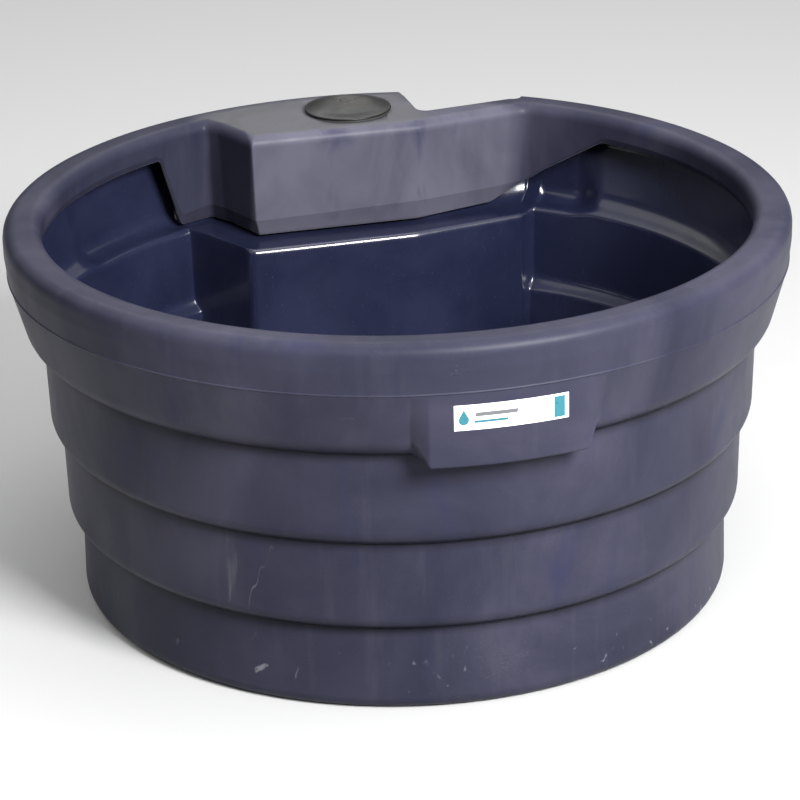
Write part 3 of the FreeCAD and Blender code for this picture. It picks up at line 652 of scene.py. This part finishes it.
def coordinate(tree, side):
    """X, Y or Z on the object, in metres."""
    place = tree.nodes.new("ShaderNodeTexCoord")
    split = tree.nodes.new("ShaderNodeSeparateXYZ")
    tree.links.new(place.outputs["Object"], split.inputs["Vector"])
    return split.outputs[side]


def plan_radius(tree):
    """Distance from the object's upright axis, in metres."""
    place = tree.nodes.new("ShaderNodeTexCoord")
    flat = tree.nodes.new("ShaderNodeVectorMath")
    flat.operation = "MULTIPLY"
    flat.inputs[1].default_value = (1, 1, 0)
    reach = tree.nodes.new("ShaderNodeVectorMath")
    reach.operation = "LENGTH"
    tree.links.new(place.outputs["Object"], flat.inputs[0])
    tree.links.new(flat.outputs["Vector"], reach.inputs[0])
    return reach.outputs["Value"]


def stepped(tree, source, start, end):
    """0 at one value of a socket and 1 at another, straight between them and level beyond."""
    step = tree.nodes.new("ShaderNodeMapRange")
    step.inputs["From Min"].default_value = start
    step.inputs["From Max"].default_value = end
    tree.links.new(source, step.inputs["Value"])
    return step.outputs["Result"]


def zone(tree, rows):
    """1 inside a part of the object, from rows of (side, start, end) in metres: the mask rises
    from 0 to 1 between each start and end."""
    mask = None
    for side, start, end in rows:
        source = plan_radius(tree) if side == "radius" else coordinate(tree, side)
        step = stepped(tree, source, start, end)
        mask = step if mask is None else times(tree, mask, step)
    return mask


def scratches(tree, scale, stretch, width):
    """Thin broken lines: where one stretched noise crosses its middle, in a few patches."""
    line = spread(tree, noise(tree, scale, 2, stretch, distortion=0.4),
                  [(0.5 - width, 0), (0.5, 1), (0.5 + width, 0)])
    patch = spread(tree, noise(tree, scale * 0.4, 3), [(0.66, 0), (0.73, 1)])
    return times(tree, line, patch)


# ---------------------------------------------------------------- materials
# Clouds of the outside from dark to pale, the marks and dust on it, and the painted light on the
# housing's front faces.
SLATE = [(0.32, (0.0135, 0.014, 0.026, 1)), (0.5, (0.0205, 0.0205, 0.035, 1)),
         (0.68, (0.031, 0.030, 0.047, 1))]
WORN = (0.07, 0.07, 0.085, 1)
# Painted light: a paler tone laid in patches on the housing's front faces.
PAINTED_FACE_LIGHT = (0.069, 0.067, 0.090, 1)
WIPED = (0.015, 0.017, 0.042, 1)
DUSTY = (0.072, 0.072, 0.076, 1)
SPECK = (0.1, 0.1, 0.12, 1)
SCUFFED = (0.2, 0.21, 0.23, 1)
# Scratches: features per metre, stretch, and width as a share of the noise's range.
SCRATCH_RUNS = [(9, (1, 1, 0.25), 0.0012), (14, (1, 1, 7), 0.001)]
SCUFF_TOP, SCUFF_FULL = 0.13, 0.03   # heights where the scuffs start and where they are in full
# Where the housing's flat top lies, and where its front faces do, which get the painted light.
PLATEAU = [("X", -0.26, -0.20), ("X", 0.21, 0.17), ("Y", 0.455, 0.460), ("Z", 0.6988, 0.6997),
           ("radius", 0.69, 0.655)]
HOUSING_FACES = [("X", -0.166, -0.160), ("Y", 0.38, 0.40), ("radius", 0.63, 0.60)]
# Painted shade round the foot of a step: metres above the foot, and brightness.
STEP_SHADE = [(-0.016, 1.0), (-0.003, 0.6), (0.001, 0.2), (0.005, 0.3), (0.012, 1.0)]
SHADE_END = (0.652, 0.664)           # radii between which it ends, short of the deep parts

# Clouds of the inside from dark to pale, and the dust on it.
NAVY = [(0.35, (0.0065, 0.008, 0.021, 1)), (0.65, (0.012, 0.014, 0.032, 1))]
NAVY_DUST = (0.12, 0.125, 0.15, 1)
CAP_BLACK, CAP_DUST = (0.0035, 0.0034, 0.0035, 1), (0.046, 0.043, 0.04, 1)
CAP_FLECK = (0.005, 0.005, 0.005, 1)
CAP_CROWN = (0.054, 0.02)            # radii between which the cap's dust thickens, in metres
# Roughness under the dust of the housing's top and of the cap.
PLATEAU_MATT, CAP_MATT = (0.8, 0.8, 0.8, 1), (0.75, 0.75, 0.75, 1)


def step_shade(tree):
    """1 everywhere but just under each step, where painted shade darkens the crease."""
    stops = [(0.0, 1.0)]
    for corner in STEP_FEET:
        foot = WALL_CORNERS[corner][1] * MM
        stops += [(foot + offset, brightness) for offset, brightness in STEP_SHADE]
    shade = spread(tree, coordinate(tree, "Z"), stops)
    return blended(tree, stepped(tree, plan_radius(tree), *SHADE_END), shade, (1, 1, 1, 1))


def moulded_skin():
    """Mould side of the tub: cloudy slate navy with painted light in pale patches on the housing's
    front faces and painted shade under each step, scuffed and finely scratched.
    """
    material, tree, shader = new_material("tub_outside")
    shader.inputs["Specular IOR Level"].default_value = 0.8
    shader.inputs["IOR"].default_value = 1.15
    cloud = noise(tree, 3.2, 6, stretch=(1, 1, 0.8), distortion=0.7, roughness=0.6)
    streak = spread(tree, noise(tree, 26, 4, stretch=(1, 1, 0.1)), [(0.55, 0), (0.8, 0.14)])
    # Painted light: pale patches on the housing's front faces, in place of lamp light.
    face_light = spread(tree, noise(tree, 7, 6, stretch=(1, 1, 0.6), distortion=0.6),
                   [(0.3, 0.5), (0.62, 1.0)])
    smear = spread(tree, noise(tree, 9, 4, stretch=(1, 1, 0.35), distortion=0.8),
                   [(0.6, 0), (0.72, 0.5)])
    dust = times(tree, spread(tree, noise(tree, 30, 6), [(0.3, 0.6), (0.7, 1.0)]),
                 zone(tree, PLATEAU))
    speck = spread(tree, noise(tree, 420, 3), [(0.66, 0), (0.72, 0.2)])
    scuff = spread(tree, noise(tree, 34, 6, stretch=(1, 1, 0.6), distortion=1.5),
                   [(0.66, 0), (0.76, 0.7)])
    near_ground = stepped(tree, coordinate(tree, "Z"), SCUFF_TOP, SCUFF_FULL)
    layers = [(streak, WORN), (times(tree, face_light, zone(tree, HOUSING_FACES)), PAINTED_FACE_LIGHT),
              (smear, WIPED), (dust, DUSTY), (speck, SPECK)]
    layers += [(scratches(tree, *run), WORN) for run in SCRATCH_RUNS]
    layers.append((times(tree, scuff, near_ground), SCUFFED))
    colour = spread(tree, cloud, SLATE)
    for share, shade in layers:
        colour = blended(tree, share, colour, shade)
    # Painted shade: the colour is darkened just under each step.
    tree.links.new(times(tree, colour, step_shade(tree)), shader.inputs["Base Color"])
    sheen = spread(tree, noise(tree, 5, 6, stretch=(1, 1, 0.7), distortion=0.8),
                   [(0.3, 0.36), (0.7, 0.5)])
    tree.links.new(blended(tree, dust, sheen, PLATEAU_MATT), shader.inputs["Roughness"])
    bump(tree, shader, noise(tree, 6, 2), 0.5, 0.0012)
    bump(tree, shader, noise(tree, 380, 3), 0.35, 0.00012)
    return material


def cast_skin():
    """Free side of the wall inside the tub: glossy deep navy with slow ripples and dust."""
    material, tree, shader = new_material("tub_inside")
    colour = spread(tree, noise(tree, 4, 5, distortion=0.5), NAVY)
    dust = spread(tree, noise(tree, 300, 3), [(0.68, 0), (0.74, 0.25)])
    colour = blended(tree, dust, colour, NAVY_DUST)
    tree.links.new(colour, shader.inputs["Base Color"])
    sheen = spread(tree, noise(tree, 14, 5), [(0.3, 0.17), (0.7, 0.27)])
    tree.links.new(sheen, shader.inputs["Roughness"])
    bump(tree, shader, noise(tree, 9, 2), 0.4, 0.001)
    bump(tree, shader, noise(tree, 70, 3), 0.3, 0.0002)
    return material


def cap_skin():
    """Black cap dulled by brown-grey dust on its crown."""
    material, tree, shader = new_material("cap")
    shader.inputs["Specular IOR Level"].default_value = 0.3
    dust = spread(tree, noise(tree, 34, 7, distortion=0.6, roughness=0.65),
                  [(0.36, 0.25), (0.62, 1.0)])
    dust = times(tree, dust, stepped(tree, plan_radius(tree), *CAP_CROWN))
    colour = blended(tree, dust, CAP_BLACK, CAP_DUST)
    fleck = spread(tree, noise(tree, 190, 3), [(0.58, 0), (0.66, 0.8)])
    colour = blended(tree, fleck, colour, CAP_FLECK)
    tree.links.new(colour, shader.inputs["Base Color"])
    sheen = spread(tree, noise(tree, 40, 4), [(0.3, 0.32), (0.7, 0.46)])
    tree.links.new(blended(tree, dust, sheen, CAP_MATT), shader.inputs["Roughness"])
    bump(tree, shader, noise(tree, 500, 2), 0.4, 0.0001)
    return material


def plain_plastic(name, colour, dark, roughness, grain=900.0, relief=0.00008):
    """Moulded plastic: two tones of one colour, uneven sheen and a fine grain."""
    material, tree, shader = new_material(name)
    tone = spread(tree, noise(tree, 9, 5), [(0.35, (*dark, 1)), (0.65, (*colour, 1))])
    tree.links.new(tone, shader.inputs["Base Color"])
    sheen = spread(tree, noise(tree, 60, 4), [(0.3, roughness * 0.85), (0.7, roughness * 1.15)])
    tree.links.new(sheen, shader.inputs["Roughness"])
    bump(tree, shader, noise(tree, grain, 2), 0.5, relief)
    return material


def metal(name, colour, dark, roughness, tarnish):
    """Turned or cast metal with fine tool marks and stained patches."""
    material, tree, shader = new_material(name)
    shader.inputs["Metallic"].default_value = 1.0
    tone = spread(tree, noise(tree, 120, 5, distortion=0.8),
                  [(0.35, (*dark, 1)), (0.6, (*colour, 1))])
    stain = spread(tree, noise(tree, 45, 6, distortion=1.2), [(0.52, 0), (0.7, 0.6)])
    tree.links.new(blended(tree, stain, tone, (*tarnish, 1)), shader.inputs["Base Color"])
    sheen = spread(tree, noise(tree, 200, 4), [(0.3, roughness * 0.7), (0.7, roughness * 1.5)])
    tree.links.new(sheen, shader.inputs["Roughness"])
    bump(tree, shader, noise(tree, 700, 2, stretch=(1, 8, 8)), 0.4, 0.00006)
    return material


# Plain materials: colour, darker tone, roughness, and for a coarser grain its scale and relief.
PLASTICS = {
    "tub_cut": ((0.16, 0.16, 0.18), (0.09, 0.09, 0.11), 0.6, 300, 0.0003),
    "label": ((0.86, 0.87, 0.88), (0.8, 0.81, 0.83), 0.3),
    "print_teal": ((0.012, 0.11, 0.14), (0.009, 0.09, 0.11), 0.3),
    "print_grey": ((0.09, 0.095, 0.1), (0.07, 0.072, 0.08), 0.35),
    "rubber": ((0.03, 0.03, 0.03), (0.014, 0.014, 0.014), 0.75, 600, 0.0002),
    "white": ((0.82, 0.81, 0.77), (0.7, 0.69, 0.64), 0.45),
    "float": ((0.07, 0.2, 0.5), (0.045, 0.14, 0.38), 0.35, 500, 0.0002),
    "fitting": ((0.05, 0.05, 0.055), (0.03, 0.03, 0.034), 0.5, 700, 0.00015)}
# Metals: colour, darker tone, roughness, tarnish.
METALS = {
    "brass": ((0.78, 0.57, 0.27), (0.6, 0.41, 0.17), 0.28, (0.3, 0.2, 0.1)),
    "steel": ((0.66, 0.67, 0.68), (0.48, 0.49, 0.5), 0.25, (0.36, 0.35, 0.33))}


def make_materials():
    """Every material by its look's name."""
    materials = {"tub_outside": moulded_skin(), "tub_inside": cast_skin(), "cap": cap_skin()}
    for look, values in PLASTICS.items():
        materials[look] = plain_plastic(look, *values)
    for look, values in METALS.items():
        materials[look] = metal(look, *values)
    return materials


# ---------------------------------------------------------------- CAD nodes
# Which material each slot of the record gets.
SLOT_LOOKS = {"label": "label", "cap_plastic": "cap", "rubber": "rubber", "brass": "brass",
              "white_plastic": "white", "float_plastic": "float", "steel": "steel",
              "fitting_plastic": "fitting", "tub_plastic": "tub_outside"}
# Rounding of the machined and moulded edges of the small parts, in millimetres.
SMALL_EDGES = {"valve_body": 0.8, "valve_end_cap": 0.8, "inlet_backnut": 0.8, "float_lever": 0.7,
               "float_stem_nuts": 0.4, "float": 0.6, "drain_bush": 0.8, "drain_locknut": 1.0,
               "drain_plug": 0.9, "outlet_spout": 0.4, "pivot_pin": 0.2}
SHARP_ANGLE = math.radians(35)


def dress_frame():
    """Give every CAD node the material of its slot, and the small parts worn edges."""
    for row in frame["record"]["subparts"]:
        node = frame["nodes"][row["node"]]
        look = MATERIALS[SLOT_LOOKS[row["material_slot"]]]
        node.data.materials.clear()
        node.data.materials.append(look)
        if row["node"] in SMALL_EDGES:
            edge = node.modifiers.new("worn_edge", "BEVEL")
            edge.width = SMALL_EDGES[row["node"]] * MM
            edge.segments = 3
            edge.limit_method = "ANGLE"
            edge.angle_limit = SHARP_ANGLE
            edge.harden_normals = True


# ---------------------------------------------------------------- camera, light and floor
CAMERA_PLACE = Vector((-1.286, -4.886, 2.423))
CAMERA_TARGET = Vector((-0.0023, 0.0006, 0.3203))
CAMERA_ROLL = math.radians(1.35)
CAMERA_LENS = 134.9
SENSOR_WIDTH = 36
CLIP_END = 60
# Area lights: name, place, what it points at, size, power.
LIGHTS = [
    ("key", (1.3, -4.0, 3.2), (0, 0, 0.4), (1.6, 1.6), 780),
    ("overhead", (0.2, 0.2, 4.0), (0, 0, 0.4), (1.6, 1.6), 30),
    ("back", (0.6, 3.6, 3.4), (0, 0, 0.5), (3.0, 1.0), 25),
    ("ceiling", (0, 0, 12), (0, 0, 0), (40, 40), 7000)]
WORLD_STRENGTH = 0.12
FLOOR_REACH = 30
FLOOR_GREY = (0.36, 0.36, 0.36, 1)


def make_camera():
    """The photo's camera, tilted a little about its line of sight."""
    data = bpy.data.cameras.new("camera")
    data.lens = CAMERA_LENS
    data.sensor_width = SENSOR_WIDTH
    data.clip_end = CLIP_END
    camera = add_object("camera", data)
    forward = (CAMERA_TARGET - CAMERA_PLACE).normalized()
    level = forward.cross(Vector((0, 0, 1))).normalized()
    above = level.cross(forward)
    right = math.cos(CAMERA_ROLL) * level - math.sin(CAMERA_ROLL) * above
    top = math.sin(CAMERA_ROLL) * level + math.cos(CAMERA_ROLL) * above
    camera.matrix_world = Matrix((
        (right.x, top.x, -forward.x, CAMERA_PLACE.x), (right.y, top.y, -forward.y, CAMERA_PLACE.y),
        (right.z, top.z, -forward.z, CAMERA_PLACE.z), (0, 0, 0, 1)))
    bpy.context.scene.camera = camera


def soft_light(name, place, target, size, power):
    data = bpy.data.lights.new(name, "AREA")
    data.shape = "RECTANGLE"
    data.size, data.size_y = size
    data.energy = power
    lamp = add_object(name, data)
    lamp.location = place
    lamp.rotation_mode = "QUATERNION"
    lamp.rotation_quaternion = (Vector(target) - Vector(place)).to_track_quat("-Z", "Y")


def make_world():
    world = bpy.data.worlds.new("studio")
    bpy.context.scene.world = world
    world.use_nodes = True
    background = world.node_tree.nodes["Background"]
    background.inputs["Color"].default_value = (1, 1, 1, 1)
    background.inputs["Strength"].default_value = WORLD_STRENGTH


def make_floor():
    mesh = bpy.data.meshes.new("floor")
    corners = [(across * FLOOR_REACH, along * FLOOR_REACH, 0)
               for across, along in ((-1, -1), (1, -1), (1, 1), (-1, 1))]
    mesh.from_pydata(corners, [], [(0, 1, 2, 3)])
    floor = add_object("floor", mesh)
    material, _, shader = new_material("floor")
    shader.inputs["Base Color"].default_value = FLOOR_GREY
    shader.inputs["Roughness"].default_value = 0.9
    floor.data.materials.append(material)


MATERIALS = make_materials()
make_camera()
dress_frame()
make_tub()
make_cap()
make_label()
for light in LIGHTS:
    soft_light(*light)
make_world()
make_floor()
bpy.context.scene.view_settings.view_transform = "Standard"
